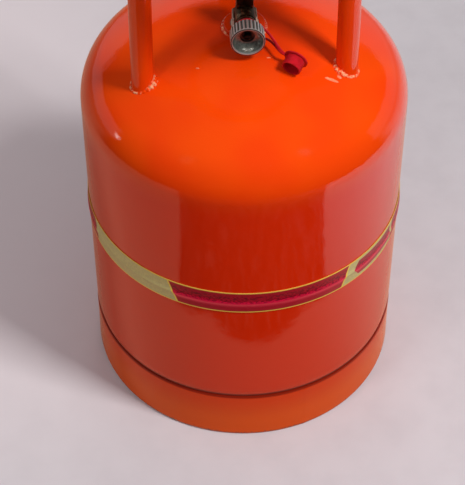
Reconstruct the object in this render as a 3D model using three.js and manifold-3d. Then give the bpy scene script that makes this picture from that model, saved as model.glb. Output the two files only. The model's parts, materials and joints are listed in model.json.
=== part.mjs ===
// Gas cylinder: a deep-drawn steel bottle with a foot ring, a three-legged carrying handle,
// a brass valve with a ribbed handwheel, and a moulded closure cap on its strap.
// Millimetres, +Z up, origin on the floor under the bottle's axis; the handwheel faces -Y.
import * as THREE from 'three';
import { mergeVertices } from 'three/addons/utils/BufferGeometryUtils.js';
import Module from 'manifold-3d';

const wasm = await Module();
wasm.setup();

// Clearance between pieces that touch
const gap = 0.3;

// Bottle
const bodyRadius = 150;
const shellWall = 3;
const shoulderHeight = 326.5;
const topKnuckle = 47;
const topCrown = 245;
const bottomTangent = 70;
const bottomKnuckle = 40;
const bottomCrown = 400;
const girthHeight = 200.6;
const girthWeldWidth = 6;
const girthCrownHeight = 0.9;
const joggleLap = 14;

// Foil belt over the girth weld
const beltBelowWeld = 12.4;
const beltAboveWeld = 14.1;
const beltBottom = girthHeight - beltBelowWeld;
const beltTop = girthHeight + beltAboveWeld;
const beltThickness = 0.5;

// Foot ring
const footFlare = 0.8;
const footTopInset = 1.6;
const footRadius = bodyRadius + footFlare;
const footTopRadius = bodyRadius - footTopInset;
const footWall = 3;
const footTop = 62;
const footLipWidth = 7;
const footLipChamfer = 1;
const footWeldSize = 4;

// Valve boss
const bossRadius = 18.5;
const bossRise = 4.5;
const bossBore = 12.6;
const bossStubRadius = 15.5;
const bossLength = 25;
const bossWeldSize = 3.5;

// Handle
const handleCentreX = -3.5;
const legInset = 51;
const legLean = 2;
const legCircle = bodyRadius - legInset;
const ringCircle = legCircle - legLean;
const ringHeight = 540;
const tubeRadius = 10;
const tubeWall = 2;
const ventRadius = 4;
const ventDepth = 15;
const legWeldSize = 4.2;
const ringWeldSize = 2.4;
const ringWeldHeight = 9;
const legAngles = { left: 210, right: 341, rear: 99 };

// Valve body; its own height zero is the top of the boss
const valveTurn = 3.5;
const stemLength = 21;
const hexAcross = 21.7;
const hexHeight = 11;
const columnWidth = 14.7;
const columnFront = 7.4;
const columnBack = 9.6;
const columnHeight = 38;
const bonnetHeight = 15.5;
const collarRadius = 8.9;
const collarFront = 19.3;
const outletRadius = 8;
const outletTop = 54;
const outletChamfer = 1;
const outletBore = 4;
const outletBoreDepth = 20;
const passageRadius = 2.6;
const inletBack = 5.4;
const seatFace = -1;
const seatHoleRadius = 2;
const chamberRadius = 5.5;

// Bonnet nut and gasket
const counterboreRadius = 7;
const counterboreDepth = 9.8;
const gasketThickness = 1.5;
const nutHeadRadius = 8.4;
const nutHeadLength = 1.6;
const neckRadius = 6.4;
const neckFront = 29.5;

// Spindles and seat
const stemRadius = 3;
const spindleFlangeRadius = 4.6;
const spindleFlangeLength = 2;
const sealBack = 24;
const sealSection = 1.3;
const tongueThickness = 2;
const tongueHalfWidth = 3.3;
const tongueReach = 1;
const padRadius = 3.6;
const padThickness = 2;
const lowerSpindleLength = 7.6;
const seatTravel = 2.5;
const slotDepth = seatTravel + tongueReach + gap;
const spindleFlangeBack = seatFace + padThickness + lowerSpindleLength + seatTravel + 4 * gap;

// Handwheel and its screw
const wheelBack = 31.9;
const wheelFront = 45.5;
const wheelRadius = 15.2;
const wheelChamfer = 0.8;
const ribDepth = 0.7;
const ribCount = 28;
const rimRadius = 13.6;
const dishRadius = 6.2;
const dishDepth = 8;
const hubFloor = 36;
const hubRadius = 6;
const driveSide = 4.2;
const washerRadius = 4.4;
const washerThickness = 0.8;
const screwHeadRadius = 3.4;
const screwHeadHeight = 2.2;
const screwRadius = 1.2;
const screwLength = 6;
const screwSlot = 0.9;

// Outlet gasket and closure cap with its strap
const outletGasketThickness = 1.6;
const outletGasketWidth = 1.2;
const capLength = 11.4;
const capRadius = 8.75;
const capWall = 1.3;
const capFlangeRadius = 10.9;
const capFlangeThickness = 1.5;
const capAzimuth = -49;
const capReach = 63;
const capHeading = 246;
const strapRadius = 1.15;
const strapSlack = 2.2;
const strapForward = 1.5;
const strapRoot = 1;
const strapTabReach = 2;
const strapTabRise = 0.5;

// Facet counts
const bodySegments = 40;
const ringSegments = 40;
const tubeSegments = 16;
const valveSegments = 24;

const radians = THREE.MathUtils.degToRad;
const at = (x, y) => new THREE.Vector2(x, y);

// Solids from three.js geometry, and geometry from solids

function solid(geometry) {
  const bare = geometry.clone();
  bare.deleteAttribute('normal');
  bare.deleteAttribute('uv');
  const merged = mergeVertices(bare, 1e-4);
  const index = merged.getIndex().array;
  const kept = [];
  for (let i = 0; i < index.length; i += 3) {
    const [a, b, c] = index.slice(i, i + 3);
    if (a !== b && b !== c && a !== c) kept.push(a, b, c);
  }
  return new wasm.Manifold(new wasm.Mesh({
    numProp: 3,
    vertProperties: new Float32Array(merged.getAttribute('position').array),
    triVerts: new Uint32Array(kept),
  }));
}

function geometryOf(body) {
  const mesh = body.getMesh();
  const geometry = new THREE.BufferGeometry();
  geometry.setAttribute('position', new THREE.BufferAttribute(mesh.vertProperties, 3));
  geometry.setIndex(new THREE.BufferAttribute(mesh.triVerts, 1));
  geometry.computeVertexNormals();
  return geometry;
}

function piece(name, body, finish) {
  const mesh = new THREE.Mesh(geometryOf(body), new THREE.MeshStandardMaterial(finish));
  mesh.name = name;
  return mesh;
}

// A closed section of (radius, height) points turned about the vertical axis
function turned(points, segments) {
  const outline = THREE.ShapeUtils.isClockWise(points) ? [...points].reverse() : [...points];
  outline.push(outline[0].clone());
  return new THREE.LatheGeometry(outline, segments).rotateX(Math.PI / 2);
}

// The same section turned about the bonnet's axis, its heights measured forward along -Y
function turnedForward(points, segments) {
  return turned(points, segments).rotateX(Math.PI / 2).translate(0, 0, bonnetHeight);
}

function rod(radius, low, high) {
  return [at(0, low), at(radius, low), at(radius, high), at(0, high)];
}

function collar(inner, outer, low, high) {
  return [at(inner, low), at(outer, low), at(outer, high), at(inner, high)];
}

// A square bar along the bonnet's axis
function forwardBar(width, height, back, front) {
  const geometry = new THREE.BoxGeometry(width, front - back, height);
  return geometry.translate(0, -(back + front) / 2, bonnetHeight);
}

// Bottle heads: a small knuckle arc that runs into a large crown arc

function headShape(knuckle, crown) {
  const knuckleCentre = bodyRadius - knuckle;
  const crownDrop = Math.sqrt((crown - knuckle) ** 2 - knuckleCentre ** 2);
  return { knuckle, crown, knuckleCentre, crownDrop, turn: Math.atan2(crownDrop, knuckleCentre) };
}

const topHead = headShape(topKnuckle, topCrown);
const bottomHead = headShape(bottomKnuckle, bottomCrown);

// Points from the tangent line towards the middle, offset outward by grow
function headCurve(head, grow, endRadius) {
  const points = [];
  const knuckleSteps = 4;
  const crownSteps = 4;
  for (let i = 0; i < knuckleSteps; i += 1) {
    const a = (head.turn * i) / knuckleSteps;
    const reach = head.knuckle + grow;
    points.push(at(head.knuckleCentre + reach * Math.cos(a), reach * Math.sin(a)));
  }
  const reach = head.crown + grow;
  const end = Math.acos(endRadius / reach);
  for (let i = 0; i <= crownSteps; i += 1) {
    const a = head.turn + ((end - head.turn) * i) / crownSteps;
    points.push(at(reach * Math.cos(a), reach * Math.sin(a) - head.crownDrop));
  }
  return points;
}

const crownCentre = shoulderHeight - topHead.crownDrop;
const apex = crownCentre + topCrown;
const bossHole = bossStubRadius + gap;
const crownHeight = (radius) => crownCentre + Math.sqrt(topCrown ** 2 - radius ** 2);
const crownSlope = (radius) => radius / Math.sqrt(topCrown ** 2 - radius ** 2);
const onTop = (point) => at(point.x, shoulderHeight + point.y);
const onBottom = (point) => at(point.x, bottomTangent - point.y);

// The whole bottle's outer shape grown by one clearance, to cut what stands on it
function bottleCut() {
  const top = [...headCurve(topHead, gap, bossHole).map(onTop), at(0, apex + gap)];
  const bottom = headCurve(bottomHead, gap, 0).map(onBottom).reverse();
  return solid(turned([...bottom, ...top], bodySegments));
}

const bottle = bottleCut();

function upperShell() {
  const edge = girthHeight + girthWeldWidth / 2;
  const outside = headCurve(topHead, 0, bossHole).map(onTop);
  const inside = headCurve(topHead, -shellWall, bossHole).map(onTop).reverse();
  const inner = bodyRadius - shellWall;
  return solid(turned([at(bodyRadius, edge), ...outside, ...inside, at(inner, edge)], bodySegments));
}

// The lower half steps inward at its mouth and reaches up inside the upper half
function lowerShell() {
  const edge = girthHeight - girthWeldWidth / 2;
  const lapRadius = bodyRadius - shellWall - gap;
  const outside = headCurve(bottomHead, 0, 0).map(onBottom).reverse();
  const inside = headCurve(bottomHead, -shellWall, 0).map(onBottom);
  const lap = [
    at(bodyRadius, edge),
    at(lapRadius, edge),
    at(lapRadius, edge + joggleLap),
    at(lapRadius - shellWall, edge + joggleLap),
    at(lapRadius - shellWall, edge - shellWall),
    at(bodyRadius - shellWall, edge - 2 * shellWall),
  ];
  return solid(turned([...outside, ...lap, ...inside], bodySegments));
}

function girthWeld() {
  const low = girthHeight - girthWeldWidth / 2 + gap;
  const high = girthHeight + girthWeldWidth / 2 - gap;
  const bead = bodyRadius + girthCrownHeight;
  return solid(turned([
    at(bodyRadius - shellWall, low),
    at(bodyRadius, low),
    at(bead, (2 * low + high) / 3),
    at(bead, (low + 2 * high) / 3),
    at(bodyRadius, high),
    at(bodyRadius - shellWall, high),
  ], bodySegments));
}

// The foil follows the bottle's side and rises over the weld bead
function belt() {
  const rise = [
    at(0, beltBottom),
    at(0, girthHeight - girthWeldWidth),
    at(girthCrownHeight, girthHeight - girthWeldWidth / 4),
    at(girthCrownHeight, girthHeight + girthWeldWidth / 4),
    at(0, girthHeight + girthWeldWidth),
    at(0, beltTop),
  ];
  const inner = rise.map((point) => at(bodyRadius + gap + point.x, point.y));
  const outer = inner.map((point) => at(point.x + beltThickness, point.y)).reverse();
  return solid(turned([...inner, ...outer], bodySegments));
}

function footSection(grow) {
  const inner = footTopRadius - footWall - grow;
  const lip = footRadius - footLipWidth - grow;
  return [
    at(footTopRadius + grow, footTop),
    at(footTopRadius + grow, footTop / 2),
    at(footRadius + grow, footWall),
    at(footRadius - footLipChamfer + grow, -grow),
    at(lip, -grow),
    at(lip, footWall + grow),
    at(footRadius - 2 * footWall - grow, footWall + grow),
    at(inner, footTop / 2),
    at(inner, footTop),
  ];
}

function footRing() {
  return solid(turned(footSection(0), bodySegments)).subtract(bottle);
}

// Fillet weld inside the ring, against the knuckle of the bottom head
function footWeld() {
  const inner = footTopRadius - footWall;
  const seam = bottomTangent - Math.sqrt(bottomKnuckle ** 2 - (inner - bodyRadius + bottomKnuckle) ** 2);
  const section = [
    at(inner + footWall, seam + footWeldSize),
    at(inner + footWall, seam - footWeldSize),
    at(inner, seam - footWeldSize),
    at(inner - footWeldSize, seam),
    at(inner - footWeldSize, seam + footWeldSize),
  ];
  const bead = solid(turned(section, bodySegments)).subtract(bottle);
  return bead.subtract(solid(turned(footSection(gap), bodySegments)));
}

function boss() {
  const top = apex + bossRise;
  const flangeUnder = apex + gap;
  return solid(turned([
    at(bossBore, top - bossLength),
    at(bossStubRadius, top - bossLength),
    at(bossStubRadius, flangeUnder),
    at(bossRadius, flangeUnder),
    at(bossRadius, top),
    at(bossBore, top),
  ], bodySegments));
}

function bossWeld() {
  const inner = bossRadius + gap;
  const outer = inner + bossWeldSize;
  const section = [
    at(inner, crownHeight(outer) - bossWeldSize),
    at(outer, crownHeight(outer) - bossWeldSize),
    at(outer, crownHeight(outer) + 2 * gap),
    at(inner, apex + bossWeldSize),
  ];
  return solid(turned(section, bodySegments)).subtract(bottle);
}

// Handle

function handlePoint(angle, radius, height) {
  const turn = radians(angle);
  return new THREE.Vector3(handleCentreX + radius * Math.cos(turn), radius * Math.sin(turn), height);
}

// Where a leg stands, how it leans in towards the ring, and how the dome slopes under it
function legPlace(angle) {
  const foot = handlePoint(angle, legCircle, 0);
  const reach = Math.hypot(foot.x, foot.y);
  foot.z = crownHeight(reach);
  const height = ringHeight - foot.z;
  const lean = handlePoint(angle, ringCircle, ringHeight).sub(foot).divideScalar(height);
  const slope = foot.clone().setZ(0).normalize().multiplyScalar(-crownSlope(reach));
  return { foot, lean, slope, height };
}

function leaned(geometry, leg) {
  return geometry.applyMatrix4(new THREE.Matrix4().set(
    1, 0, leg.lean.x, leg.foot.x,
    0, 1, leg.lean.y, leg.foot.y,
    0, 0, 1, leg.foot.z,
    0, 0, 0, 1,
  ));
}

function sheared(geometry, slope) {
  return geometry.applyMatrix4(new THREE.Matrix4().set(
    1, 0, 0, 0,
    0, 1, 0, 0,
    slope.x, slope.y, 1, 0,
    0, 0, 0, 1,
  ));
}

function torus(tube, sides) {
  const ring = new THREE.TorusGeometry(ringCircle, tube, sides, ringSegments);
  return solid(ring.translate(handleCentreX, 0, ringHeight));
}

const ringCut = torus(tubeRadius + gap, tubeSegments);

function leg(place) {
  const low = -2 * tubeRadius;
  const tube = turned(collar(tubeRadius - tubeWall, tubeRadius, low, place.height), tubeSegments);
  return solid(leaned(tube, place)).subtract(bottle).subtract(ringCut);
}

function legWeld(place) {
  const inner = tubeRadius + gap;
  const outer = inner + legWeldSize;
  const section = [at(inner, -legWeldSize), at(outer, -legWeldSize), at(outer, 2 * gap), at(inner, legWeldSize)];
  return solid(leaned(sheared(turned(section, tubeSegments), place.slope), place)).subtract(bottle);
}

function ringWeld(place) {
  const inner = tubeRadius + gap;
  const outer = inner + ringWeldSize;
  const low = place.height - tubeRadius - ringWeldSize;
  const high = low + ringWeldHeight;
  const section = [at(inner, low - ringWeldSize / 2), at(outer, low), at(outer, high), at(inner, high)];
  return solid(leaned(turned(section, tubeSegments), place)).subtract(ringCut);
}

// The ring is a hollow tube with a vent hole down into each leg
function handleRing(places) {
  let ring = torus(tubeRadius, tubeSegments).subtract(torus(tubeRadius - tubeWall, tubeSegments / 2));
  for (const place of places) {
    const vent = turned(rod(ventRadius, place.height - ventDepth, place.height), valveSegments / 2);
    ring = ring.subtract(solid(leaned(vent, place)));
  }
  return ring;
}

// Valve pieces; heights along the bonnet are measured forward from the valve's axis

function valveBody() {
  const stem = [at(0, -stemLength), at(bossBore - 3 * gap, -stemLength), at(bossBore - gap, gap), at(0, gap)];
  const hex = new THREE.CylinderGeometry(hexAcross / Math.sqrt(3), hexAcross / Math.sqrt(3), hexHeight, 6);
  hex.rotateX(Math.PI / 2).translate(0, 0, gap + hexHeight / 2);
  const column = new THREE.BoxGeometry(columnWidth, columnFront + columnBack, columnHeight - hexHeight / 2);
  column.translate(0, (columnBack - columnFront) / 2, (columnHeight + hexHeight / 2) / 2);
  const outlet = [
    at(0, columnHeight - outletRadius),
    at(outletRadius, columnHeight - outletRadius),
    at(outletRadius, outletTop - outletChamfer),
    at(outletRadius - outletChamfer, outletTop),
    at(0, outletTop),
  ];
  return solid(turned(stem, bodySegments))
    .add(solid(hex))
    .add(solid(column))
    .add(solid(turned(outlet, valveSegments)))
    .add(solid(turnedForward(rod(collarRadius, 0, collarFront), valveSegments)))
    .subtract(valvePassages());
}

function valvePassages() {
  const inlet = turned(rod(passageRadius, -stemLength - 1, bonnetHeight), valveSegments / 2);
  const boreFloor = outletTop - outletBoreDepth;
  const riser = turned(rod(passageRadius, bonnetHeight, boreFloor + gap), valveSegments / 2);
  const seat = turnedForward(rod(seatHoleRadius, -inletBack, seatFace + 1), valveSegments / 2);
  return solid(inlet.translate(0, inletBack, 0))
    .add(solid(seat))
    .add(solid(riser.translate(0, -passageRadius, 0)))
    .add(solid(turned(rod(outletBore, boreFloor, outletTop + 1), valveSegments)))
    .add(solid(turnedForward(rod(chamberRadius, seatFace, collarFront + 1), valveSegments)))
    .add(solid(turnedForward(rod(counterboreRadius, counterboreDepth, collarFront + 1), valveSegments)));
}

function bonnetGasket() {
  const low = counterboreDepth + gap;
  const section = collar(chamberRadius + gap, counterboreRadius - gap, low, low + gasketThickness);
  return solid(turnedForward(section, valveSegments));
}

function bonnetNut() {
  const back = counterboreDepth + gasketThickness + 2 * gap;
  const head = collarFront + gap;
  const bore = stemRadius + gap;
  const room = spindleFlangeRadius + gap;
  const flangeFront = spindleFlangeBack + spindleFlangeLength + gap;
  return solid(turnedForward([
    at(counterboreRadius - gap, back),
    at(counterboreRadius - gap, head),
    at(nutHeadRadius, head),
    at(nutHeadRadius, head + nutHeadLength),
    at(neckRadius, head + nutHeadLength + 1),
    at(neckRadius, neckFront),
    at(bore, neckFront),
    at(bore, sealBack + sealSection + gap),
    at(bore + sealSection + gap, sealBack + sealSection + gap),
    at(bore + sealSection + gap, sealBack - gap),
    at(bore, sealBack - gap),
    at(bore, flangeFront),
    at(room, flangeFront),
    at(room, back),
  ], valveSegments));
}

function spindleSeal() {
  const half = sealSection / 2;
  const ring = new THREE.TorusGeometry(stemRadius + gap + half, half, 6, valveSegments);
  ring.rotateX(Math.PI / 2);
  return solid(ring.translate(0, -sealBack - half, bonnetHeight));
}

function upperSpindle() {
  const tip = seatFace + padThickness + lowerSpindleLength + 2 * gap - tongueReach;
  const end = hubFloor - gap;
  const flange = spindleFlangeBack + spindleFlangeLength;
  const tongue = forwardBar(2 * tongueHalfWidth, tongueThickness, tip, flange);
  const drive = forwardBar(driveSide, driveSide, flange, end);
  const shaft = [
    at(0, spindleFlangeBack),
    at(spindleFlangeRadius, spindleFlangeBack),
    at(spindleFlangeRadius, flange),
    at(stemRadius, flange),
    at(stemRadius, neckFront),
    at(0, neckFront),
  ];
  const threadHole = rod(screwRadius + gap, end - screwLength, end + 1);
  return solid(turnedForward(shaft, valveSegments))
    .add(solid(tongue))
    .add(solid(drive))
    .subtract(solid(turnedForward(threadHole, valveSegments / 2)));
}

function lowerSpindle() {
  const back = seatFace + padThickness + 2 * gap;
  const front = back + lowerSpindleLength;
  const slot = forwardBar(2 * chamberRadius, tongueThickness + 2 * gap, front - slotDepth, front + 1);
  return solid(turnedForward(rod(chamberRadius - gap, back, front), valveSegments)).subtract(solid(slot));
}

function seatPad() {
  const back = seatFace + gap;
  return solid(turnedForward(rod(padRadius, back, back + padThickness), valveSegments / 2));
}

// Ribs come from a star outline that trims the wheel's cylindrical part
function ribStar() {
  const outline = new THREE.Shape();
  const steps = 2 * ribCount;
  for (let i = 0; i < steps; i += 1) {
    const a = (2 * Math.PI * i) / steps;
    const r = wheelRadius - (i % 2) * ribDepth;
    if (i === 0) outline.moveTo(r, 0);
    else outline.lineTo(r * Math.cos(a), r * Math.sin(a));
  }
  outline.closePath();
  const length = wheelFront - neckFront;
  const star = new THREE.ExtrudeGeometry(outline, { depth: length, bevelEnabled: false, steps: 1 });
  return star.rotateX(Math.PI / 2).translate(0, -neckFront, bonnetHeight);
}

function handwheel() {
  const rear = neckFront + gap;
  const dishCurve = [];
  const dishSteps = 4;
  for (let i = 0; i <= dishSteps; i += 1) {
    const a = (Math.PI / 2) * (i / dishSteps);
    const radius = dishRadius + (rimRadius - dishRadius) * Math.sin(a);
    dishCurve.push(at(radius, wheelFront - dishDepth * Math.cos(a)));
  }
  const wheel = turnedForward([
    at(0, rear),
    at(hubRadius, rear),
    at(hubRadius, wheelBack),
    at(wheelRadius - wheelChamfer, wheelBack),
    at(wheelRadius, wheelBack + wheelChamfer),
    at(wheelRadius, wheelFront - wheelChamfer),
    at(wheelRadius - wheelChamfer, wheelFront),
    ...dishCurve.reverse(),
    at(dishRadius, hubFloor),
    at(0, hubFloor),
  ], 2 * ribCount);
  const side = driveSide + 2 * gap;
  const socket = forwardBar(side, side, rear - 1, hubFloor + 1);
  return solid(wheel).intersect(solid(ribStar())).subtract(solid(socket));
}

function wheelWasher() {
  const back = hubFloor + gap;
  const section = collar(screwRadius + gap, washerRadius, back, back + washerThickness);
  return solid(turnedForward(section, valveSegments / 2));
}

function wheelScrew() {
  const under = hubFloor + washerThickness + 2 * gap;
  const tip = hubFloor - gap - screwLength + 2 * gap;
  const top = under + screwHeadHeight;
  const shape = [
    at(0, tip),
    at(screwRadius, tip),
    at(screwRadius, under),
    at(screwHeadRadius, under),
    at(screwHeadRadius, top),
    at(0, top),
  ];
  const slot = forwardBar(2 * screwHeadRadius + 1, screwSlot, top - screwHeadHeight / 2, top + 1);
  return solid(turnedForward(shape, valveSegments / 2)).subtract(solid(slot));
}

// Flat sealing ring on the floor of the outlet's bore
function outletGasket() {
  const low = outletTop - outletBoreDepth + gap;
  const outer = outletBore - gap;
  const section = collar(outer - outletGasketWidth, outer, low, low + outletGasketThickness);
  return solid(turned(section, valveSegments));
}

// Closure cap: it lies on the dome on its flange and its mouth, its strap looped on the bonnet neck

// The cap's own frame has its axis along +X from the closed end to the mouth, and +Z off the dome
function capPlace() {
  const half = capLength / 2;
  const tilt = Math.atan2(capFlangeRadius - capRadius, capLength);
  const lift = Math.sqrt((topCrown + gap) ** 2 - (half / Math.cos(tilt)) ** 2);
  const lean = Math.asin(capReach / topCrown);
  return new THREE.Matrix4()
    .makeTranslation(0, 0, crownCentre)
    .multiply(new THREE.Matrix4().makeRotationZ(radians(capAzimuth)))
    .multiply(new THREE.Matrix4().makeRotationY(lean))
    .multiply(new THREE.Matrix4().makeTranslation(0, 0, lift))
    .multiply(new THREE.Matrix4().makeRotationZ(radians(capHeading - capAzimuth)))
    .multiply(new THREE.Matrix4().makeRotationY(tilt))
    .multiply(new THREE.Matrix4().makeTranslation(-half, 0, (capFlangeRadius + capRadius) / 2));
}

function neckPoint(across, forward, up) {
  const turn = radians(valveTurn);
  const height = apex + bossRise + bonnetHeight + up;
  const x = across * Math.cos(turn) + forward * Math.sin(turn);
  return new THREE.Vector3(x, across * Math.sin(turn) - forward * Math.cos(turn), height);
}

// One moulded loop: from the flange's tab over the neck, round behind it and back underneath
function strapCurve(tab, tabOut) {
  const loop = neckRadius + strapRadius + strapSlack;
  const middle = (collarFront + nutHeadLength + wheelBack) / 2;
  return new THREE.CatmullRomCurve3([
    tab,
    tabOut,
    neckPoint(1.9 * loop, middle + strapForward, -0.5 * loop),
    neckPoint(0.75 * loop, middle, 0.66 * loop),
    neckPoint(0, middle, loop),
    neckPoint(-0.8 * loop, middle, 0.6 * loop),
    neckPoint(-loop, middle, -0.2 * loop),
    neckPoint(-0.5 * loop, middle, -0.95 * loop),
    neckPoint(0.5 * loop, middle + strapForward / 3, -1.15 * loop),
    neckPoint(1.9 * loop, middle + strapForward, -1.3 * loop),
    tabOut.clone().add(new THREE.Vector3(-0.3, -0.4, 0).multiplyScalar(strapTabReach)),
    tab.clone().add(new THREE.Vector3(0.4, -0.6, 0).multiplyScalar(strapRoot)),
  ]);
}

function capWithStrap() {
  const half = capFlangeThickness / 2;
  const shell = [
    at(0, 0),
    at(capFlangeRadius, 0),
    at(capFlangeRadius, capFlangeThickness),
    at(capRadius, capFlangeThickness),
    at(capRadius, capLength),
    at(capRadius - capWall, capLength),
    at(capRadius - capWall, capFlangeThickness),
    at(0, capFlangeThickness),
  ];
  const place = capPlace();
  const cap = turned(shell, valveSegments).rotateY(Math.PI / 2).applyMatrix4(place);
  const tab = new THREE.Vector3(half, strapRoot - capFlangeRadius, 0).applyMatrix4(place);
  const tabOut = new THREE.Vector3(half, -capFlangeRadius - strapTabReach, strapTabRise).applyMatrix4(place);
  const section = new THREE.Shape().absarc(0, 0, strapRadius, 0, 2 * Math.PI);
  const strap = new THREE.ExtrudeGeometry(section, {
    steps: 48,
    curveSegments: 4,
    bevelEnabled: false,
    extrudePath: strapCurve(tab, tabOut),
  });
  return solid(cap).add(solid(strap));
}

// Finishes
const enamel = { color: 0xf2380a, roughness: 0.22, metalness: 0 };
const brass = { color: 0x8f6a2c, roughness: 0.35, metalness: 1 };
const steel = { color: 0x9b9a96, roughness: 0.35, metalness: 1 };
const chrome = { color: 0xb4b3ad, roughness: 0.28, metalness: 1 };
const rubber = { color: 0x1c1b1a, roughness: 0.8, metalness: 0 };
const foil = { color: 0x8c1c10, roughness: 0.3, metalness: 0.7 };
const capRed = { color: 0xb8101c, roughness: 0.45, metalness: 0 };

// Assembly
const cylinder = new THREE.Group();

cylinder.add(
  piece('upper_shell', upperShell(), enamel),
  piece('lower_shell', lowerShell(), enamel),
  piece('girth_weld', girthWeld(), enamel),
  piece('belt_band', belt(), foil),
  piece('foot_ring', footRing(), enamel),
  piece('foot_ring_weld', footWeld(), enamel),
  piece('valve_boss', boss(), enamel),
  piece('boss_weld', bossWeld(), enamel),
);

const places = Object.fromEntries(Object.entries(legAngles).map(([side, angle]) => [side, legPlace(angle)]));
for (const [side, place] of Object.entries(places)) {
  cylinder.add(
    piece(`handle_leg_${side}`, leg(place), enamel),
    piece(`leg_weld_${side}`, legWeld(place), enamel),
    piece(`ring_weld_${side}`, ringWeld(place), enamel),
  );
}
cylinder.add(piece('handle_ring', handleRing(Object.values(places)), enamel));

const valve = new THREE.Group();
valve.position.z = apex + bossRise;
valve.rotation.z = radians(valveTurn);
valve.add(
  piece('valve_body', valveBody(), brass),
  piece('bonnet_gasket', bonnetGasket(), rubber),
  piece('bonnet_nut', bonnetNut(), brass),
  piece('spindle_o_ring', spindleSeal(), rubber),
  piece('upper_spindle', upperSpindle(), brass),
  piece('lower_spindle', lowerSpindle(), brass),
  piece('seat_pad', seatPad(), rubber),
  piece('handwheel', handwheel(), chrome),
  piece('wheel_washer', wheelWasher(), steel),
  piece('wheel_screw', wheelScrew(), steel),
  piece('outlet_gasket', outletGasket(), rubber),
);
cylinder.add(valve);
cylinder.add(piece('closure_cap', capWithStrap(), capRed));

export default cylinder;
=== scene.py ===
# %% [markdown]
# A steel gas cylinder in gloss orange-red enamel stands on a pale table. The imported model
# gives every piece its size and place. This lesson dresses it: smooth turned shells, lumpy
# weld beads, a foil belt, a brass valve with a ribbed handwheel, and a soft plastic cap.

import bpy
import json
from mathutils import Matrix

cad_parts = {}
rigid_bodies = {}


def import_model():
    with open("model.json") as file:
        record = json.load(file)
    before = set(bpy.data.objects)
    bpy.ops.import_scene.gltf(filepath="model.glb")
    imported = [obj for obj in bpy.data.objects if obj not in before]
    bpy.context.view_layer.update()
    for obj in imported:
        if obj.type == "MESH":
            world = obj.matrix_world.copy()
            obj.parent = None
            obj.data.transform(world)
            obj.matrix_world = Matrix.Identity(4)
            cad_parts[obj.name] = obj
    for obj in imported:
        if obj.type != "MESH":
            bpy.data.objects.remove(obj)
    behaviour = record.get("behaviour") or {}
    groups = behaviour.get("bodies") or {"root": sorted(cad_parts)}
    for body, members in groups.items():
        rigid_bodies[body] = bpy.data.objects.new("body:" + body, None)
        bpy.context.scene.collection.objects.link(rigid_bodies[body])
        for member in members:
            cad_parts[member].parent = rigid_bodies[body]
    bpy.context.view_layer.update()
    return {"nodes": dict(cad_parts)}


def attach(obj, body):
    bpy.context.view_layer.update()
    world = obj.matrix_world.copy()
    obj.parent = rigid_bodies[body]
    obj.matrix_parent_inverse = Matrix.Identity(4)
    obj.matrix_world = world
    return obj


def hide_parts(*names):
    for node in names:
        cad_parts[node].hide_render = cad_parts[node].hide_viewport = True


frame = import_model()

# %% [markdown]
# The script works in metres, as Blender does. A few lengths of the real cylinder are named
# here once, in metres, and each piece below is worked out from them, so that the smooth
# skins lie where the model's solids lie.

# %% Names, libraries and the cylinder's own sizes
import json
import math
import random

import bpy
import bmesh
from mathutils import Matrix, Vector, noise

MM = 0.001
CYLINDER, WHEEL = "cylinder", "wheel"

side_radius = 150 * MM
sheet = 3 * MM
clearance = 0.3 * MM
shoulder = 326.5 * MM
top_knuckle = 47 * MM
top_crown = 245 * MM
bottom_tangent = 70 * MM
bottom_knuckle = 40 * MM
bottom_crown = 400 * MM
girth = 200.6 * MM
boss_rise = 4.5 * MM
tube = 10 * MM
handle_x = -3.5 * MM
leg_circle = 99 * MM
ring_circle = 97 * MM
ring_height = 540 * MM
leg_angles = {"left": 210, "right": 341, "rear": 99}
valve_turn = math.radians(3.5)
bonnet = 15.5 * MM

crown_centre = shoulder - math.sqrt((top_crown - top_knuckle) ** 2 - (side_radius - top_knuckle) ** 2)
apex = crown_centre + top_crown
boss_top = apex + boss_rise


def dome(x, y):
    """The height of the dome's outside over a point of the floor."""
    return crown_centre + math.sqrt(top_crown ** 2 - x * x - y * y)


def mm(*points):
    """Points that are written in millimetres, in metres."""
    return [tuple(value * MM for value in point) for point in points]


print("apex", round(apex, 4), "boss top", round(boss_top, 4))

# %% [markdown]
# Blender's materials are node trees. Writing them as arithmetic keeps them readable, so one
# small class wraps a socket: its operators add Math nodes, and one method adds any other node.

# %% A socket that does arithmetic


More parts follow.
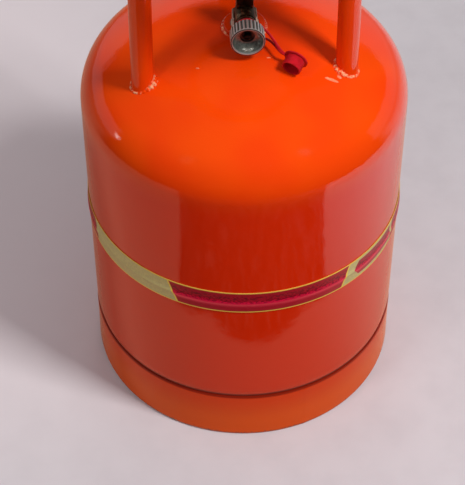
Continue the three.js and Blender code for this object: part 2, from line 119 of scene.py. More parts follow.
class Wire:
    """One output socket of a material's tree. Operators on it add Math nodes."""

    def __init__(self, tree, socket=None):
        self.tree = tree
        self.socket = socket

    def node(self, kind, settings=None, inputs=None, out=0):
        made = self.tree.nodes.new(kind)
        for key, value in (settings or {}).items():
            setattr(made, key, value)
        for key, value in (inputs or {}).items():
            if isinstance(value, Wire):
                self.tree.links.new(value.socket, made.inputs[key])
            else:
                made.inputs[key].default_value = value
        return Wire(self.tree, made.outputs[out])

    def math(self, operation, *values):
        return self.node("ShaderNodeMath", {"operation": operation}, dict(enumerate(values)))

    def __add__(self, other):
        return self.math("ADD", self, other)

    def __sub__(self, other):
        return self.math("SUBTRACT", self, other)

    def __rsub__(self, other):
        return self.math("SUBTRACT", other, self)

    def __mul__(self, other):
        return self.math("MULTIPLY", self, other)

    def __truediv__(self, other):
        return self.math("DIVIDE", self, other)

    def __neg__(self):
        return self.math("MULTIPLY", self, -1.0)

    __radd__ = __add__
    __rmul__ = __mul__

    def larger(self, other):
        return self.math("MAXIMUM", self, other)

    def smaller(self, other):
        return self.math("MINIMUM", self, other)

    def size(self):
        return self.math("ABSOLUTE", self)

    def below(self, limit):
        return self.math("LESS_THAN", self, limit)

    def across(self, other):
        """The length of a step of self one way and of other at right angles to it."""
        return self.math("SQRT", self * self + other * other)

    def rise(self, low, high):
        """Zero below low, one above high, smooth between."""
        return self.node(
            "ShaderNodeMapRange",
            {"interpolation_type": "SMOOTHSTEP"},
            {"Value": self, "From Min": low, "From Max": high},
        )

    def tint(self, base, over):
        """The colour base where this mask is 0 and over where it is 1."""
        return self.node("ShaderNodeMix", {"data_type": "RGBA"}, {0: self, 6: base, 7: over}, out=2)


def rgb(red, green, blue):
    return (red, green, blue, 1.0)


print("shader helper ready")

# %% [markdown]
# Every finish starts from the same few measures: the place in the object's own space, its
# three coordinates, and noise at a stated grain in millimetres. Object space is used because
# a turned piece has no flat unwrapping, and it makes the grain the same size on all pieces.

# %% A material and its measures


class Finish:
    """A material with its Principled shader and the measures that masks are made from."""

    def __init__(self, name, **constants):
        self.material = bpy.data.materials.new(name)
        self.material.use_nodes = True
        self.tree = self.material.node_tree
        self.shader = self.tree.nodes["Principled BSDF"]
        self.start = Wire(self.tree)
        for key, value in constants.items():
            self.shader.inputs[key.replace("_", " ")].default_value = value
        self.place = self.start.node("ShaderNodeTexCoord", out="Object")
        self.x = self.axis("X")
        self.y = self.axis("Y")
        self.z = self.axis("Z")

    def axis(self, letter):
        return self.start.node("ShaderNodeSeparateXYZ", None, {0: self.place}, out=letter)

    def around(self):
        """Degrees round the cylinder from the front, positive towards +X."""
        return self.x.math("ARCTAN2", self.x, -self.y) * math.degrees(1)

    def grain(self, millimetres, detail=2.0, stretch=None):
        place = self.place
        if stretch:
            settings = {"operation": "MULTIPLY"}
            place = self.start.node("ShaderNodeVectorMath", settings, {0: place, 1: stretch})
        return self.start.node(
            "ShaderNodeTexNoise", None,
            {"Vector": place, "Scale": 1 / (millimetres * MM), "Detail": detail, "Roughness": 0.55},
        )

    def set(self, socket, value):
        self.tree.links.new(value.socket, self.shader.inputs[socket])

    def bump(self, height, millimetres):
        settings = {"Height": height, "Distance": millimetres * MM, "Strength": 1.0}
        self.set("Normal", self.start.node("ShaderNodeBump", None, settings))


print("finish helper ready")

# %% [markdown]
# The enamel is sprayed and baked: a deep gloss over a faint orange-peel ripple. One paint
# looks different from place to place, so each tint is named here. The coat is more orange on
# the foot ring. Painted shade makes the upright wall deeper red, the dome round the valve
# darker, the foot ring's top darker and the groove above the foot ring dark.

# %% Enamel's colours
ENAMEL = rgb(0.95, 0.070, 0.002)
ENAMEL_DEEP = rgb(0.92, 0.054, 0.002)
ENAMEL_WALL_SHADE = rgb(0.86, 0.027, 0.0006)
ENAMEL_FOOT = rgb(1.0, 0.104, 0.006)
ENAMEL_CROWN_SHADE = rgb(0.50, 0.018, 0.0006)
DUST = rgb(0.75, 0.25, 0.15)
SCALE_AND_HIGHLIGHT = rgb(0.95, 0.40, 0.21)
GROOVE_SHADE = rgb(0.20, 0.007, 0.001)
BARE_STEEL = rgb(0.12, 0.08, 0.07)
groove = 60.5 * MM
wall_fades, wall_ends = 308 * MM, 346 * MM
print("groove over the foot ring at", round(groove, 4))

# %% [markdown]
# Dust specks, chips low on the foot ring and the pale scale of the welds are masks of noise,
# each limited to where the real wear is. The welds' pale flecks are also painted highlight on
# the bead's lumps. A clear coat would double the highlight, so the gloss comes from the base
# layer alone, and only its roughness varies.

# %% Enamel


def enamel(name, ripple=0.05, foot=False, scale_and_highlight=0, gloss=0.5):
    finish = Finish(name, Roughness=0.2, IOR=1.5, Specular_IOR_Level=gloss)
    colour = finish.grain(60, 1.0).rise(0.35, 0.7).tint(ENAMEL_DEEP, ENAMEL)
    specks = finish.grain(1.6, 3.0).rise(0.72, 0.78) * finish.grain(22).rise(0.5, 0.62)
    colour = (specks * 0.35).tint(colour, DUST)
    rough = 0.03 + 0.06 * finish.grain(9, 4.0) + 0.2 * specks
    if foot:
        # The foot ring is more orange, and it is painted darker towards its top: painted shade below the
        # groove
        colour = finish.z.rise(20 * MM, 56 * MM).tint(ENAMEL_FOOT, ENAMEL_DEEP)
    else:
        # The upright wall is painted a deeper red: painted shade, as the high lamps light it less than the
        # dome
        wall_shade = 1 - finish.z.rise(wall_fades, wall_ends)
        colour = wall_shade.tint(colour, ENAMEL_WALL_SHADE)
        # The dome round the valve is painted darker: painted shade, where the handle ring and the valve
        # shade it
        under_boss_top = 1 - finish.z.rise(boss_top + 2 * MM, boss_top + 6 * MM)
        crown = (1 - finish.x.across(finish.y).rise(28 * MM, 84 * MM)) * under_boss_top
        colour = (0.5 * crown).tint(colour, ENAMEL_CROWN_SHADE)
    # A dark red band in the groove over the foot ring is painted shade, where little light gets in
    groove_shade = 1 - (finish.z - groove).size().rise(1.8 * MM, 4.6 * MM)
    colour = (groove_shade * 0.9).tint(colour, GROOVE_SHADE)
    rough = rough + 0.4 * groove_shade
    if foot:
        low = 1 - finish.z.rise(0.5 * MM, 6 * MM)
        worn = finish.grain(2.5, 4.0).rise(0.55, 0.6) * low
        colour = worn.tint(colour, BARE_STEEL)
        rough = rough + 0.4 * worn
    if scale_and_highlight:
        # Pale rough flecks along the bead: weld scale under thin paint, and painted highlight on its lumps
        flecks = finish.grain(2.6, 3.0).rise(0.42, 0.58) * finish.grain(12).rise(0.36, 0.5)
        flecks = flecks.larger(0.55 * (scale_and_highlight - 1))
        colour = flecks.tint(colour, SCALE_AND_HIGHLIGHT)
        rough = rough + 0.25 * flecks
    finish.set("Base Color", colour)
    finish.set("Roughness", rough)
    finish.bump(finish.grain(1.8, 1.0) + 4 * finish.grain(14, 1.0), ripple)
    return finish.material


body_enamel = enamel("enamel_body")
foot_enamel = enamel("enamel_foot", foot=True, gloss=0.28)
tube_enamel = enamel("enamel_tube", ripple=0.03)
bead_enamel = enamel("enamel_bead", ripple=0.16, scale_and_highlight=1)
# The drops take a paler enamel, for the spatter and for the two painted highlights near the valve
drop_and_highlight_enamel = enamel("enamel_drops_and_highlights", ripple=0.16, scale_and_highlight=2)
print("enamels", [m.name for m in (body_enamel, foot_enamel, tube_enamel, bead_enamel, drop_and_highlight_enamel)])

# %% [markdown]
# The valve is forged brass that has gone brown with age, and brighter in patches where hands
# and tools rub it. Patches of two browns under a fine grain give that, and pale dried paste
# lies low on the hexagon, where the fitter sealed the thread.

# %% Aged brass
BRONZE_DARK = rgb(0.075, 0.06, 0.035)
BRONZE_RUBBED = rgb(0.34, 0.27, 0.16)
PASTE = rgb(0.62, 0.56, 0.44)


def aged_brass(name, dark, rubbed, share, paste=False):
    finish = Finish(name, Metallic=1.0)
    patches = finish.grain(5, 4.0).rise(share - 0.12, share + 0.12)
    fine = finish.grain(0.5, 3.0)
    colour = patches.tint(dark, rubbed)
    rough = 0.5 - 0.18 * patches + 0.12 * fine
    if paste:
        # Dried sealing paste stays on the hexagon's two side corners, low on the valve
        beside = finish.x.size().rise(8.8 * MM, 9.6 * MM)
        low = 1 - finish.z.rise(boss_top + 10 * MM, boss_top + 12 * MM)
        smear = beside * low * finish.grain(3, 3.0).rise(0.3, 0.4)
        colour = smear.tint(colour, PASTE)
        rough = rough + 0.25 * smear
        finish.set("Metallic", 1 - smear)
    finish.set("Base Color", colour)
    finish.set("Roughness", rough)
    finish.bump(fine, 0.05)
    return finish.material


valve_brass = aged_brass("brass_valve", BRONZE_DARK, BRONZE_RUBBED, 0.6, paste=True)
nut_brass = aged_brass("brass_nut", rgb(0.16, 0.13, 0.08), BRONZE_RUBBED, 0.55)
hidden_brass = aged_brass("brass_spindle", rgb(0.45, 0.3, 0.12), rgb(0.6, 0.42, 0.18), 0.5)
dark_steel = aged_brass("steel_screw", rgb(0.05, 0.045, 0.04), rgb(0.2, 0.19, 0.18), 0.6)
print("brass and steel", [m.name for m in (valve_brass, nut_brass, hidden_brass, dark_steel)])

# %% [markdown]
# The handwheel is a zinc casting: grey and satin, rubbed pale on the crests of its ribs and
# on the lip, darker between the ribs, and with fine turning marks in the dish. The hub deep in
# the dish is painted dark, as painted shade in its recess. All of these follow from one
# measure, the distance from the wheel's own axis.

# %% Cast zinc
ZINC = rgb(0.27, 0.285, 0.245)
ZINC_RUBBED = rgb(0.66, 0.66, 0.63)
ZINC_DARK = rgb(0.03, 0.032, 0.04)


def band(measure, outer_rise, inner_rise):
    """One between two limits, each given as where its smooth step starts and ends."""
    return (1 - measure.rise(*outer_rise)) * measure.rise(*inner_rise)


def cast_zinc(name, centre):
    finish = Finish(name, Metallic=0.7)
    # Sideways distance from the wheel's axis, which is turned a little with the valve
    sideways = finish.x * math.cos(valve_turn) + finish.y * math.sin(valve_turn)
    out = sideways.across(finish.z - centre)
    turning = finish.grain(0.35, 2.0, stretch=(1.0, 6.0, 1.0))
    # Darker between the ribs
    rib_valleys = band(out, (14.5 * MM, 14.95 * MM), (14.1 * MM, 14.3 * MM))
    # Painted shade: the hub deep in the dish is painted nearly black
    recess_shade = 1 - out.rise(6.3 * MM, 6.9 * MM)
    patches = finish.grain(2.5, 4.0).rise(0.4, 0.65) * 0.45
    lip = band(out, (13.9 * MM, 14.1 * MM), (13.2 * MM, 13.6 * MM))
    rubbed = out.rise(15.02 * MM, 15.16 * MM).larger(lip)
    dirt_and_shade = rib_valleys.larger(patches * (1 - rubbed)).larger(recess_shade * 0.8)
    finish.set("Base Color", dirt_and_shade.tint(rubbed.tint(ZINC, ZINC_RUBBED), ZINC_DARK))
    finish.set("Roughness", 0.24 + 0.12 * turning + 0.35 * rib_valleys)
    finish.bump(turning, 0.02)
    return finish.material


wheel_zinc = cast_zinc("zinc_wheel", boss_top + bonnet)
print("zinc", wheel_zinc.name)

# %% [markdown]
# The cap is soft moulded polyethylene: red, slightly waxy, with a faint moulding texture. The
# seals are black rubber, and they hardly show, but each still has a grain of its own.

# %% Plastic and rubber


def moulded(name, light, dark, rough):
    finish = Finish(name, IOR=1.5)
    mottle = finish.grain(4, 3.0)
    fine = finish.grain(0.4, 2.0)
    finish.set("Base Color", mottle.rise(0.35, 0.65).tint(dark, light))
    finish.set("Roughness", rough + 0.15 * fine)
    finish.bump(fine + mottle, 0.06)
    return finish.material


cap_red = moulded("plastic_cap", rgb(0.56, 0.006, 0.016), rgb(0.44, 0.004, 0.010), 0.34)
seal_black = moulded("rubber_seal", rgb(0.03, 0.03, 0.03), rgb(0.015, 0.015, 0.015), 0.6)
print("moulded", cap_red.name, seal_black.name)

# %% [markdown]
# The belt is a printed foil. A colour here depends on the angle round the bottle and on the
# height, so both are measured first. The long crimson field in front runs between two slanted
# ends, a khaki-gold field lies on each side of it, and thin gold lines edge the foil.

# %% Foil belt's fields
belt_low = 188.2 * MM
belt_high = 214.7 * MM
CRIMSON = rgb(0.50, 0.002, 0.02)
CRIMSON_HIGHLIGHT = rgb(0.98, 0.006, 0.07)
CRIMSON_SHADE = rgb(0.13, 0.002, 0.006)
KHAKI = rgb(0.66, 0.56, 0.24)
GOLD_LINE = rgb(1.0, 0.70, 0.10)
PALE_GOLD = rgb(0.95, 0.84, 0.30)
field_starts, field_ends, rear_starts = -24.0, 37.0, 66.0


def crimson_fields(around, up, left_end, right_end):
    """One in the front field, in the six-sided field on the right, and round the back."""
    front = left_end.rise(field_starts - 0.2, field_starts + 0.2)
    front = front * (1 - right_end.rise(field_ends - 0.2, field_ends + 0.2))
    rear = (around.size() - 2.5 * up).rise(rear_starts, rear_starts + 0.4)
    from_middle = (up - 0.5).size()
    right = (around - 42.5 - 7.0 * from_middle).rise(0.0, 0.3) * from_middle.below(0.34)
    right = right * (1 - rear) * around.below(rear_starts)
    return front.larger(right).larger(rear)


print("belt from", belt_low, "to", belt_high)

# %% [markdown]
# Inside the crimson the foil is pressed over the weld bead, and one line along it is painted
# bright: a painted highlight along that real ridge. Above that line small crinkles catch no
# light, and they are painted as dark flecks: painted shade. The foil is printed lacquer rather
# than bare metal, so it's only slightly metallic.

# %% Foil belt's printing, with painted highlight and painted shade


def foil_print_and_painted_light():
    finish = Finish("foil_print_and_painted_light", Metallic=0.12, Specular_IOR_Level=0.35)
    around = finish.around()
    up = (finish.z - belt_low) / (belt_high - belt_low)
    left_end = around + 4.0 * up
    right_end = around - 3.5 * up
    crimson = crimson_fields(around, up, left_end, right_end)
    # Painted highlight: a bright line along the foil's ridge over the weld bead
    ridge_highlight = 1 - (up - 0.42).size().rise(0.02, 0.2)
    red = ridge_highlight.tint(CRIMSON, CRIMSON_HIGHLIGHT)
    above = up.rise(0.46, 0.54) * (1 - up.rise(0.74, 0.9))
    # Painted shade: dark flecks where crinkles above the ridge catch no light
    flecks = above * finish.grain(2.6, 4.0, stretch=(1.0, 1.0, 2.2)).rise(0.47, 0.57)
    red = (flecks * 0.8).tint(red, CRIMSON_SHADE)
    weave = finish.grain(2.2, 2.0).rise(0.4, 0.65)
    khaki = (weave * 0.25).tint(KHAKI, PALE_GOLD)
    colour = crimson.tint(khaki, red)
    ends = 1 - (left_end - field_starts).size().rise(0.25, 0.45)
    ends = ends.larger(1 - (right_end - field_ends).size().rise(0.25, 0.45))
    lines = (1 - up.rise(0.03, 0.06)).larger(up.rise(0.94, 0.97)).larger(ends)
    finish.set("Base Color", lines.tint(colour, GOLD_LINE))
    creases = finish.grain(3.0, 3.0, stretch=(1.0, 1.0, 2.5))
    finish.set("Roughness", 0.24 + 0.18 * creases + 0.12 * (1 - crimson))
    finish.bump(creases, 0.16)
    return finish.material


foil = foil_print_and_painted_light()
print("foil", foil.name)

# %% [markdown]
# Most of the cylinder is turned: a section goes round an axis. One helper makes such a mesh
# from a closed section, another rounds the section's corners, since no pressed or cast edge
# is sharp. Quads all round keep the smooth shading even.

# %% Turned pieces
TAU = 2 * math.pi


def arc(centre, radius, start, end, steps):
    angles = [start + (end - start) * i / steps for i in range(steps + 1)]
    return [(centre[0] + radius * math.cos(a), centre[1] + radius * math.sin(a)) for a in angles]


def rounded(points, radius, steps=3):
    """The closed section with each corner replaced by a small curve."""
    result = []
    count = len(points)
    for i, corner in enumerate(points):
        before = Vector(points[i - 1])
        here = Vector(corner)
        after = Vector(points[(i + 1) % count])
        if here.x < 1e-9:
            result.append(tuple(here))
            continue
        reach = min(radius, (before - here).length * 0.45, (after - here).length * 0.45)
        first = here + (before - here).normalized() * reach
        last = here + (after - here).normalized() * reach
        for step in range(steps + 1):
            t = step / steps
            result.append(tuple(first * (1 - t) ** 2 + here * (2 * t * (1 - t)) + last * t * t))
    return result


def circle(count, radius):
    """Points evenly round a circle about the origin, in the floor's plane."""
    angles = [TAU * k / count for k in range(count)]
    return [Vector((math.cos(a), math.sin(a), 0)) * radius for a in angles]


def stitched(loops, sides, closed=True, first=0):
    """Quads between neighbouring loops of points, from vertex number first on."""
    faces = []
    for k in range(loops if closed else loops - 1):
        a, b = first + k * sides, first + ((k + 1) % loops) * sides
        for side in range(sides):
            other = (side + 1) % sides
            faces.append((a + side, a + other, b + other, b + side))
    return faces


def mesh_object(name, vertices, faces, angle=32):
    mesh = bpy.data.meshes.new(name)
    mesh.from_pydata([tuple(v) for v in vertices], [], faces)
    surface = bmesh.new()
    surface.from_mesh(mesh)
    bmesh.ops.remove_doubles(surface, verts=surface.verts, dist=1e-7)
    bmesh.ops.recalc_face_normals(surface, faces=surface.faces)
    surface.to_mesh(mesh)
    surface.free()
    mesh.shade_smooth()
    mesh.set_sharp_from_angle(angle=math.radians(angle))
    piece = bpy.data.objects.new(name, mesh)
    bpy.context.scene.collection.objects.link(piece)
    return piece


def turned(name, section, steps=160, shape=None, angle=32):
    """Turns a closed (radius, height) section about Z. shape may move each point."""
    vertices = []
    faces = []
    count = len(section)
    for k in range(steps):
        turn = TAU * k / steps
        for radius, height in section:
            if shape:
                radius, height = shape(radius, height, turn)
            vertices.append((radius * math.cos(turn), radius * math.sin(turn), height))
    for k in range(steps):
        for i in range(count):
            j = (i + 1) % count
            if section[i][0] < 1e-9 and section[j][0] < 1e-9:
                continue
            a, b = k * count, ((k + 1) % steps) * count
            faces.append((a + i, b + i, b + j, a + j))
    return mesh_object(name, vertices, faces, angle)


def dress(piece, material, body, *nodes, slot=None):
    """Gives a piece its material, its body, and the nodes that it stands for."""
    piece.data.materials.clear()
    piece.data.materials.append(material)
    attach(piece, body)
    if nodes:
        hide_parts(*nodes)
    return piece


print("turning helpers ready")

# %% [markdown]
# The bottle is two deep-drawn steel cups. Each has a straight side, a tight knuckle and a
# broad crown, so the section is a line and two arcs that meet smoothly. Arcs are drawn as
# arcs, finely, because a gloss surface shows every facet in its reflections.

# %% Upper shell


def head(knuckle, crown, grow, end_radius, steps):
    """The head's curve from its tangent line to end_radius, heights measured from that line."""
    centre = side_radius - knuckle
    drop = math.sqrt((crown - knuckle) ** 2 - centre ** 2)
    turn = math.atan2(drop, centre)
    end = math.acos(end_radius / (crown + grow))
    curve = arc((centre, 0), knuckle + grow, 0, turn, steps)
    return curve[:-1] + arc((0, -drop), crown + grow, turn, end, steps)


def straight(radius, low, high, steps=12):
    return [(radius, low + (high - low) * i / steps) for i in range(steps)]


weld_half = 3 * MM
boss_hole = 15.8 * MM
outside = [(r, shoulder + z) for r, z in head(top_knuckle, top_crown, 0, boss_hole, 28)]
inside = [(r, shoulder + z) for r, z in head(top_knuckle, top_crown, -sheet, boss_hole, 8)]
upper_section = straight(side_radius, girth + weld_half, shoulder) + outside + inside[::-1]
upper_section.append((side_radius - sheet, girth + weld_half))
upper = turned("shell_upper", upper_section, 256)
dress(upper, body_enamel, CYLINDER, "upper_shell", slot="enamel")
print("upper shell", len(upper.data.polygons))

# %% [markdown]
# The lower cup's rim is joggled: it steps in by one thickness of sheet and slides up inside
# the upper cup, so that the girth weld has steel behind it. The section shows that step.

# %% Lower shell
lap_height = 14 * MM
outside = [(r, bottom_tangent - z) for r, z in head(bottom_knuckle, bottom_crown, 0, 0, 24)]
inside = [(r, bottom_tangent - z) for r, z in head(bottom_knuckle, bottom_crown, -sheet, 0, 8)]
lap = side_radius - sheet - clearance
edge = girth - weld_half
lower_section = outside[::-1] + straight(side_radius, bottom_tangent, edge)[1:] + [
    (side_radius, edge), (lap, edge), (lap, edge + lap_height), (lap - sheet, edge + lap_height),
    (lap - sheet, edge - sheet), (side_radius - sheet, edge - 2 * sheet),
] + inside
lower = turned("shell_lower", lower_section, 256)
dress(lower, body_enamel, CYLINDER, "lower_shell", slot="enamel")
print("lower shell", len(lower.data.polygons))

# %% [markdown]
# The foot ring is rolled strip, butt-welded into a hoop and tucked under the bottom knuckle.
# It flares a little downwards and its lower edge is turned in. The bottle curves away just
# above it, and the ring's round top edge leaves a narrow shadowed groove there. A shallow
# vertical bead marks the butt weld in front, as a bulge of the same surface.

# %% Foot ring
foot_seam = math.radians(-66)
seam_width, seam_bulge, seam_ripple = 2.2 * MM, 0.45 * MM, 0.9 * MM
foot_section = rounded(mm(
    (146.2, 58.2), (149.2, 60.0), (150.3, 57.4), (150.3, 31), (150.7, 8), (150.8, 3),
    (149.8, 0), (143.8, 0), (143.8, 3), (144.8, 3.2), (145.4, 31), (145.4, 55.6),
), 2.2 * MM, 5)


def butt_weld(radius, height, turn):
    away = math.remainder(turn - foot_seam, TAU) * side_radius
    bulge = math.exp(-((away / seam_width) ** 2)) * seam_bulge
    ripple = 1 + 0.35 * math.sin(height / seam_ripple)
    outer = radius > 147 * MM and 2 * MM < height < 57 * MM
    return (radius + bulge * ripple * outer, height)


foot = turned("foot_hoop", foot_section, 320, butt_weld)
dress(foot, foot_enamel, CYLINDER, "foot_ring", slot="enamel")
print("foot", len(foot.data.polygons))

# %% [markdown]
# The foil follows the bottle and rides over the weld bead under it. That ridge catches the
# light as one long line, so it's real shape in the section here and not only paint.

# %% Belt
bead_rise, bead_width, foil_thickness, wrinkle_depth = mm((0.9, 2.6, 0.35, 0.05))[0]
belt_rows = 36


def foil_rise(height):
    return bead_rise * math.exp(-(((height - girth) / bead_width) ** 2))


belt_heights = [belt_low + (belt_high - belt_low) * i / belt_rows for i in range(belt_rows + 1)]
belt_base = side_radius + clearance
belt_section = [(belt_base + foil_rise(z), z) for z in belt_heights]
belt_section += [(belt_base + foil_thickness + foil_rise(z), z) for z in reversed(belt_heights)]


def foil_wrinkle(radius, height, turn):
    edge_distance = min(height - belt_low, belt_high - height) / (belt_high - belt_low)
    wave = noise.noise(Vector((math.cos(turn) * 40, math.sin(turn) * 40, height * 900)))
    return (radius + wrinkle_depth * wave * min(1.0, 4 * edge_distance), height)


belt = turned("belt_foil", belt_section, 480, foil_wrinkle, angle=60)
dress(belt, foil, CYLINDER, "belt_band", slot="foil")
print("belt", len(belt.data.polygons))

# %% [markdown]
# A weld bead is a row of frozen drops, so it is swept along its seam as a tube whose size
# swells and shrinks. Each bead gets its own seeded phase, so no two are alike and the script
# still gives the same result every time.

# %% Weld beads


def swept(name, path, radius, sides=14, closed=True):
    """A tube along a path of points; radius is a number for each point."""
    vertices = []
    count = len(path)
    across = Vector((1, 0, 0))
    for k, point in enumerate(path):
        ahead = path[(k + 1) % count] if closed else path[min(k + 1, count - 1)]
        behind = path[k - 1] if closed else path[max(k - 1, 0)]
        along = (ahead - behind).normalized()
        if closed:
            across = along.cross(Vector((0, 0, 1))).normalized()
        else:
            # An open path may climb steeply, so each frame is carried on from the last one
            across = (across - along * across.dot(along)).normalized()
        lift = across.cross(along)
        for side in range(sides):
            a = TAU * side / sides
            vertices.append(point + (across * math.cos(a) + lift * math.sin(a)) * radius[k])
    faces = stitched(count, sides, closed)
    if not closed:
        faces.append(tuple(range(sides - 1, -1, -1)))
        faces.append(tuple(range((count - 1) * sides, count * sides)))
    return mesh_object(name, vertices, faces, 50)


def bead_sizes(count, thin, thick, heavy_side, drops, seed):
    """Sizes along a bead: thin and even, but thick and lumpy towards one side."""
    rng = random.Random(seed)
    phases = [rng.uniform(0, TAU) for _ in range(3)]
    sizes = []
    for k in range(count):
        a = TAU * k / count
        away = math.remainder(a - math.radians(heavy_side), TAU)
        heavy = math.exp(-((away / 0.75) ** 2))
        drop = abs(math.sin(drops * a / 2 + phases[0]))
        swell = 0.12 * math.sin(2 * a + phases[1]) + 0.08 * math.sin(5 * a + phases[2])
        size = thin * (0.9 + 0.1 * drop + swell) + (thick - thin) * heavy * (0.45 + 0.55 * drop)
        sizes.append(size)
    return sizes


def welded(node, name, seam, sizes, sides):
    """The bead along a seam, dressed as the model's weld of that name."""
    bead = swept(name, seam, sizes, sides)
    return dress(bead, bead_enamel, CYLINDER, node, slot="enamel")


print("bead helpers ready")

# %% [markdown]
# The first bead runs round the boss. Each of its points takes its height from the dome, so
# the ring of drops lies on the curved steel and not in a flat plane.

# %% Boss bead
seam_points, seam_radius, seam_lift = 144, 19.4 * MM, 0.6 * MM
boss_seam = circle(seam_points, seam_radius)
for point in boss_seam:
    point.z = dome(point.x, point.y) + seam_lift
sizes = bead_sizes(seam_points, 1.3 * MM, 1.9 * MM, 200, 30, 3)
boss_bead = welded("boss_weld", "bead_boss", boss_seam, sizes, 12)
print("boss bead", len(boss_bead.data.polygons))

# %% [markdown]
# The boss is a turned steel ring set into the dome. The valve's taper screws into it. Only
# its flange shows, so that edge gets a generous round.

# %% Boss
boss_bore, boss_neck, boss_flange = 12.6 * MM, 15.5 * MM, 18.5 * MM
boss_foot = boss_top - 25 * MM
flange_under = apex + clearance
boss_section = rounded([
    (boss_bore, boss_foot), (boss_neck, boss_foot), (boss_neck, flange_under),
    (boss_flange, flange_under), (boss_flange, boss_top), (boss_bore, boss_top),
], 1.1 * MM, 5)
boss = dress(turned("boss_ring", boss_section, 128), body_enamel, CYLINDER, "valve_boss", slot="enamel")
print("boss", len(boss.data.polygons))

# %% [markdown]
# The handle is round tube: three legs and a ring. A leg is coped, which means that its ends
# are cut to the shapes they meet. Its lower rim takes its height from the dome under each
# point, and its upper rim from the ring's underside, so both joints close all round.

# %% Handle's helpers
tube_wall = 2 * MM


def handle_point(angle, circle, height):
    return Vector((handle_x + circle * math.cos(angle), circle * math.sin(angle), height))


def under_ring(x, y):
    away = math.hypot(x - handle_x, y) - ring_circle
    return ring_height - math.sqrt(max((tube + clearance) ** 2 - away ** 2, 0))


def leg_frame(angle):
    foot_point = handle_point(angle, leg_circle, 0)
    foot_point.z = dome(foot_point.x, foot_point.y)
    top = handle_point(angle, ring_circle, ring_height)
    return foot_point, (top - foot_point) / (top.z - foot_point.z)


def leg_mesh(name, angle, sides=64, rows=24):
    foot_point, lean = leg_frame(angle)
    rings = []
    for radius in (tube, tube - tube_wall):
        for row in range(rows + 1):
            ring = []
            for side in range(sides):
                a = TAU * side / sides
                offset = Vector((radius * math.cos(a), radius * math.sin(a), 0))
                low = foot_point + offset
                low.z = dome(low.x, low.y) + clearance
                high = foot_point + offset + lean * (ring_height - foot_point.z)
                high.z = under_ring(high.x, high.y)
                ring.append(low.lerp(high, row / rows))
            rings.append(ring)
    outer, inner = rings[:rows + 1], rings[rows + 1:]
    loops = outer + inner[::-1]
    vertices = [point for loop in loops for point in loop]
    return mesh_object(name, vertices, stitched(len(loops), sides))


def seam_path(angle, count, height_at, out):
    """Points round a leg at the distance out from its side, at the height of what it meets."""
    foot_point, lean = leg_frame(angle)
    middle = foot_point + lean * (ring_height - foot_point.z) if height_at is under_ring else foot_point
    path = [middle + point for point in circle(count, tube + out)]
    for point in path:
        point.z = height_at(point.x, point.y)
    return path


print("handle helpers ready")

# %% [markdown]
# Each leg gets a bead at its foot and one under the ring. The foot's bead is thick and lumpy
# on the side where the welder stood, which is a different side for every leg.

# %% Legs, their welds and the ring
heavy_sides = {"left": -25, "right": 222, "rear": 270}
weld_points, ring_points, bead_out = 120, 224, 0.4 * MM
for number, (side, degrees) in enumerate(leg_angles.items()):
    angle = math.radians(degrees)
    dress(leg_mesh(f"leg_{side}", angle), tube_enamel, CYLINDER, f"handle_leg_{side}", slot="enamel")
    path = seam_path(angle, weld_points, dome, bead_out)
    sizes = bead_sizes(weld_points, 1.3 * MM, 4.0 * MM, heavy_sides[side], 21, 10 + number)
    welded(f"leg_weld_{side}", f"bead_leg_{side}", path, sizes, 14)
    path = seam_path(angle, weld_points, under_ring, bead_out)
    for point in path:
        point.z = min(point.z, ring_height - 4 * MM) - bead_out
    sizes = bead_sizes(weld_points, 1.2 * MM, 1.9 * MM, heavy_sides[side], 16, 20 + number)
    welded(f"ring_weld_{side}", f"bead_ring_{side}", path, sizes, 12)

ring_path = [handle_point(TAU * k / ring_points, ring_circle, ring_height) for k in range(ring_points)]
ring = swept("handle_hoop", ring_path, [tube] * ring_points, 40)
dress(ring, tube_enamel, CYLINDER, "handle_ring", slot="enamel")
print("handle ring", len(ring.data.polygons))

# %% [markdown]
# Where the welder started and stopped, small drops stay on the dome beside the right leg.
# Two more small pale blobs near the valve are painted highlights, where lamps' reflections
# show on the dome. All are little flattened blobs, each set on the dome at its own place.

# %% Weld spatter and painted highlights
drop_height, drop_sink = 1.1 * MM, 0.3 * MM


def spatter(name, places, seed, sides=16, rows=6):
    rng = random.Random(seed)
    vertices = []
    faces = []
    for x, y, length, width in places:
        heading = rng.uniform(-0.3, 0.3)
        start = len(vertices)
        for row in range(rows + 1):
            tilt = (math.pi / 2) * row / rows
            for side in range(sides):
                a = TAU * side / sides
                u = length * math.cos(a) * math.cos(tilt)
                v = width * math.sin(a) * math.cos(tilt)
                px = x + u * math.cos(heading) - v * math.sin(heading)
                py = y + u * math.sin(heading) + v * math.cos(heading)
                vertices.append((px, py, dome(px, py) - drop_sink + drop_height * math.sin(tilt)))
        faces += stitched(rows + 1, sides, False, start)
        faces.append(tuple(range(start + sides - 1, start - 1, -1)))
    return mesh_object(name, vertices, faces, 60)


# The last two drops, near the valve, are painted highlights: pale marks where lamp reflections fall
drops = mm((76, -51, 6.5, 1.6), (83, -46, 2.2, 1.6), (21, -38, 2.0, 0.5), (-41, -47, 1.8, 0.6))
spatter_and_highlights = dress(spatter("drops_and_highlights", drops, 7), drop_and_highlight_enamel, CYLINDER, slot="enamel")
print("spatter", len(drops), "drops,", len(spatter_and_highlights.data.polygons), "faces")

# %% [markdown]
# The valve is forged and then machined. Its body is made of the same simple forms as the real
# one: a hexagon for the wrench, a square column, a round collar for the bonnet and a threaded
# outlet on top. The forms are fused with Boolean modifiers, and its passages are cut out.

# %% Valve body helpers
valve_place = Matrix.Translation((0, 0, boss_top)) @ Matrix.Rotation(valve_turn, 4, "Z")
forward = Matrix.Translation((0, 0, bonnet)) @ Matrix.Rotation(math.pi / 2, 4, "X")


